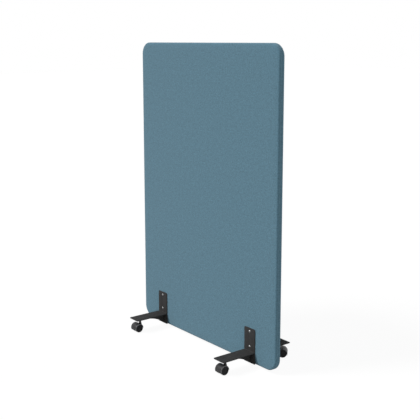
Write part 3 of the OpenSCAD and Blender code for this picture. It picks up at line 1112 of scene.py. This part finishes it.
def spinSection(name, across, low, high, rims=False):  # a flat section swept round the axle
    clearSelection()
    bpy.ops.mesh.primitive_plane_add(size=1, location=(0, (low + high) / 2 * mm, 0))
    section = bpy.context.object
    section.scale = (2 * across * mm, (high - low) * mm, 1)
    settle(section, name)
    if rims:
        selectParts(section, "VERT", lambda point: near(point.y, high))
        bpy.ops.mesh.bevel(offset=caster["shoulder"] * mm, segments=5, affect="VERTICES")
        leaveEdit()
        rimX = across - caster["rim"]
        for side in (-1, 1):
            bisectAt(section, (side * rimX, 0, 0), (1, 0, 0))
        selectParts(section, "EDGE", lambda a, b: near(a.y, low) and near(b.y, low)
            and max(abs(a.x), abs(b.x)) > rimX + 0.1)
        extrudeRun([(0, -caster["rimDeep"], 0)])
        leaveEdit()
    editAll(section)
    bpy.ops.mesh.spin(steps=72, angle=math.radians(caster["sweep"]), center=(0, 0, 0),
        axis=(-1, 0, 0))
    leaveEdit()
    closeUp(section, 0.01)
    return section


def buildFlare():  # the thicker foot of the neck, hollowed for the wheels
    low, high = caster["flareLow"], caster["flareHigh"]
    clearSelection()
    bpy.ops.mesh.primitive_cone_add(
        vertices=60, radius1=caster["flare"] * mm,
        radius2=(caster["neck"] - caster["flareSlim"]) * mm, depth=(high - low) * mm,
        location=(0, caster["trail"] * mm, (high + low) / 2 * mm),
    )
    flare = settle(bpy.context.object, "flare")
    inside = caster["outer"] - caster["skin"]
    combine(flare, addRod(inside, (-30, 0, 0), (30, 0, 0), 128), "DIFFERENCE")
    bisectAt(flare, (0, caster["outer"], 0), (0, 1, 0), True)
    return flare


def buildHood():
    trail, top, boss = caster["trail"], caster["neckTop"], caster["bossHalf"]
    hood = spinSection("hood", caster["halfWide"], caster["bore"], caster["outer"], True)
    for part in (
        spinSection("web", caster["web"], caster["webLow"], caster["outer"] - caster["skin"]),
        buildFlare(),
        addRod(caster["neck"], (0, trail, caster["neckLow"]), (0, trail, top), 64),
        addRod(caster["boss"], (-boss, 0, 0), (boss, 0, 0), 64),
    ):
        combine(hood, part, "UNION")
    radius, low, high = caster["ringGroove"]
    for cut in (
        addRod(caster["socket"], (0, trail, caster["socketLow"]), (0, trail, top + 2)),
        addRod(radius, (0, trail, low), (0, trail, high)),
        addRod(caster["axle"], (-30, 0, 0), (30, 0, 0)),
    ):
        combine(hood, cut, "DIFFERENCE")
    cleanUp(hood, 0.15, 1)
    roundEdges(hood, caster["edgeRound"], 2, 38, False)
    dropSpareCorners(hood)
    smooth(hood, 35)
    # the hood's rims get a lighter tone: rubbed wear with a painted highlight along the shoulder
    rimStart = caster["halfWide"] - caster["shoulder"]
    markWearAndHighlight(hood, lambda x, radius:
        (x - rimStart) / caster["wearAndHighlightWide"] if radius > caster["bore"] - 1 else 0)
    return hood


def insetTo(piece, x, fromRadius, toRadius, run):  # insets the flat end at x, then moves it by run
    selectParts(piece, "FACE", lambda centre, normal: near(centre.x, x) and abs(normal.x) > 0.9
        and math.hypot(centre.y, centre.z) < 0.5)
    bpy.ops.mesh.inset(thickness=(fromRadius - toRadius) * mm, depth=0)
    extrudeRun([(run, 0, 0)])
    leaveEdit()


def onCircle(x, radius):  # tells the edges of a circle round the axle
    return lambda a, b: (near(a.x, x) and near(b.x, x)
        and near(math.hypot(a.y, a.z), radius, 0.15)
        and near(math.hypot(b.y, b.z), radius, 0.15))


def buildWheel():
    inner, outer, size, hub = wheel["inner"], wheel["outer"], wheel["radius"], wheel["hub"]
    cap, capRise, rise = wheel["cap"], wheel["capRise"], wheel["ringRise"]
    ringOut, ringIn = wheel["ring"]
    half = wheel["ribThick"] / 2
    wall = size - wheel["treadWall"]
    deep = outer - wheel["recess"]  # the disc's outer face, and back is its inner one
    back = deep - wheel["disc"]
    body = addRod(size, (inner, 0, 0), (outer, 0, 0), 96)
    for x, fromRadius, toRadius, run in (
        (outer, size, wall, deep - outer), (deep, wall, ringOut, rise),
        (deep + rise, ringOut, ringIn, -rise), (deep, ringIn, cap, capRise),
        (inner, size, wall, back - inner), (back, wall, hub, inner - back),
        (inner, hub, wheel["bore"], back - inner),
    ):
        insetTo(body, x, fromRadius, toRadius, run)
    for x, radius, width, segments in (
        (inner, size, wheel["treadRound"], 5), (outer, size, wheel["treadRound"], 5),
        (deep + capRise, cap, capRise * 0.9, 4), (outer, wall, 0.5, 2), (inner, wall, 0.4, 2),
        (deep, wall, 0.7, 2), (deep, cap, 0.35, 2), (deep + rise, ringOut, 0.3, 2),
        (deep + rise, ringIn, 0.3, 2), (inner, hub, 0.4, 2),
    ):
        roundSome(body, onCircle(x, radius), width, segments)
    for index in range(wheel["ribs"]):
        rib = addBlock((wheel["ribFrom"], -half, hub - 0.5), (back + 0.5, half, wall + 0.5))
        rib.rotation_euler.x = 2 * math.pi * index / wheel["ribs"]
        combine(body, settle(rib, "rib"), "UNION")
    smooth(body, 32)
    # the tread's outer band is lighter: rubbed wear with a painted highlight ring round the disc
    markWearAndHighlight(body, lambda x, radius: (radius - wall - wheel["wearAndHighlightFrom"]) / wheel["wearAndHighlightWide"])
    return body


def buildCasters(hoodNylon, wheelNylon):
    hood = buildHood()
    roller = buildWheel()
    for corner in corners:
        x, y = atStem(corner)
        turn = (0 if corner[0] == "f" else 180) + caster["turned"].get(corner, 0)
        back = Matrix.Rotation(math.radians(turn), 3, "Z") @ Vector((0, -caster["trail"], 0))
        place = (x + back.x, y + back.y, caster["axleHigh"])
        finishPiece(copyTo(hood, "casterHood_" + corner, place, turn), hoodNylon,
            "caster_" + corner, ["hood_" + corner])
        for hand, extra in (("left", 180), ("right", 0)):
            name = corner + "_" + hand
            finishPiece(copyTo(roller, "roller_" + name, place, turn + extra), wheelNylon,
                "wheel_" + name, ["wheel_" + name])
    remove(hood, roller)
    print("casters made")


# Studio

studio = {
    "floorSize": 60,
    "floorColour": (0.45, 0.45, 0.45),
    "floorRough": 0.9,
    "floorGlow": 0.865,  # how much of the floor's look is its glow, where it is seen directly
    "glowStrength": 1.09,
    "worldLight": 0.22,
    "lamps": {  # where each soft sun shines from, how bright it is, and how wide in degrees
        "keyLamp": {"from": (-3.7, -6.9, 8.6), "power": 3.25, "wide": 20},
        "sideLamp": {"from": (7.5, -1.0, 1.2), "power": 0.7, "wide": 30},
        "rearLamp": {"from": (1.2, 7.2, 1.0), "power": 1.2, "wide": 30},
    },
}


def seenDirectly(tree):  # 1 for what the camera, a reflection or clear glass shows
    rays = tree.nodes.new("ShaderNodeLightPath").outputs
    reflected = calc(tree, "MAXIMUM", rays["Is Glossy Ray"], rays["Is Transmission Ray"])
    return calc(tree, "MAXIMUM", rays["Is Camera Ray"], reflected)


def blendShaders(tree, share, first, second):
    node = tree.nodes.new("ShaderNodeMixShader")
    feed(tree, node, {0: share, 1: first, 2: second})
    return node.outputs[0]


def buildFloor():
    clearSelection()
    bpy.ops.mesh.primitive_plane_add(size=studio["floorSize"], location=(0, 0, 0))
    floor = bpy.context.object
    floor.name = "studioFloor"
    material, tree, shader = newMaterial("whiteFloor")
    feed(tree, shader, {"Base Color": (*studio["floorColour"], 1),
        "Roughness": studio["floorRough"], "Specular IOR Level": 0})
    glow = tree.nodes.new("ShaderNodeEmission")
    glow.inputs["Strength"].default_value = studio["glowStrength"]
    share = calc(tree, "MULTIPLY", seenDirectly(tree), studio["floorGlow"])
    tree.links.new(blendShaders(tree, share, shader.outputs[0], glow.outputs[0]),
        tree.nodes["Material Output"].inputs["Surface"])
    floor.data.materials.append(material)


def buildWorld():
    world = bpy.data.worlds.new("studioAir")
    bpy.context.scene.world = world
    world.use_nodes = True
    tree = world.node_tree
    light = tree.nodes["Background"]
    backdrop = tree.nodes.new("ShaderNodeBackground")
    for node, strength in ((light, studio["worldLight"]), (backdrop, 1)):
        feed(tree, node, {"Color": (1, 1, 1, 1), "Strength": strength})
    seen = blendShaders(tree, seenDirectly(tree), light.outputs[0], backdrop.outputs[0])
    tree.links.new(seen, tree.nodes["World Output"].inputs["Surface"])


def addLamp(name, lamp):
    clearSelection()
    away = Vector(lamp["from"])
    bpy.ops.object.light_add(type="SUN", location=away)
    light = bpy.context.object
    light.name = name
    light.data.energy = lamp["power"]
    light.data.angle = math.radians(lamp["wide"])
    light.rotation_euler = (-away).to_track_quat("-Z", "Y").to_euler()


# All the pieces

buildCovers(makeFabric())
buildPads(makeFoam())
dressInside()
buildBrackets(makePowderCoat())
buildFasteners(makeSteel("brightSteel"))
buildStems(makeSteel("blackenedSteel"))
axles = ["axle_" + corner for corner in corners]
dressNodes(("spacer_tubes", "stem_rings", *axles), makeSteel("zincPlate"))
buildCasters(makeNylon("hoodNylon"), makeNylon("wheelNylon"))
buildFloor()
buildWorld()
for name, lamp in studio["lamps"].items():
    addLamp(name, lamp)
bpy.context.scene.view_settings.view_transform = "Standard"
print("studio set")
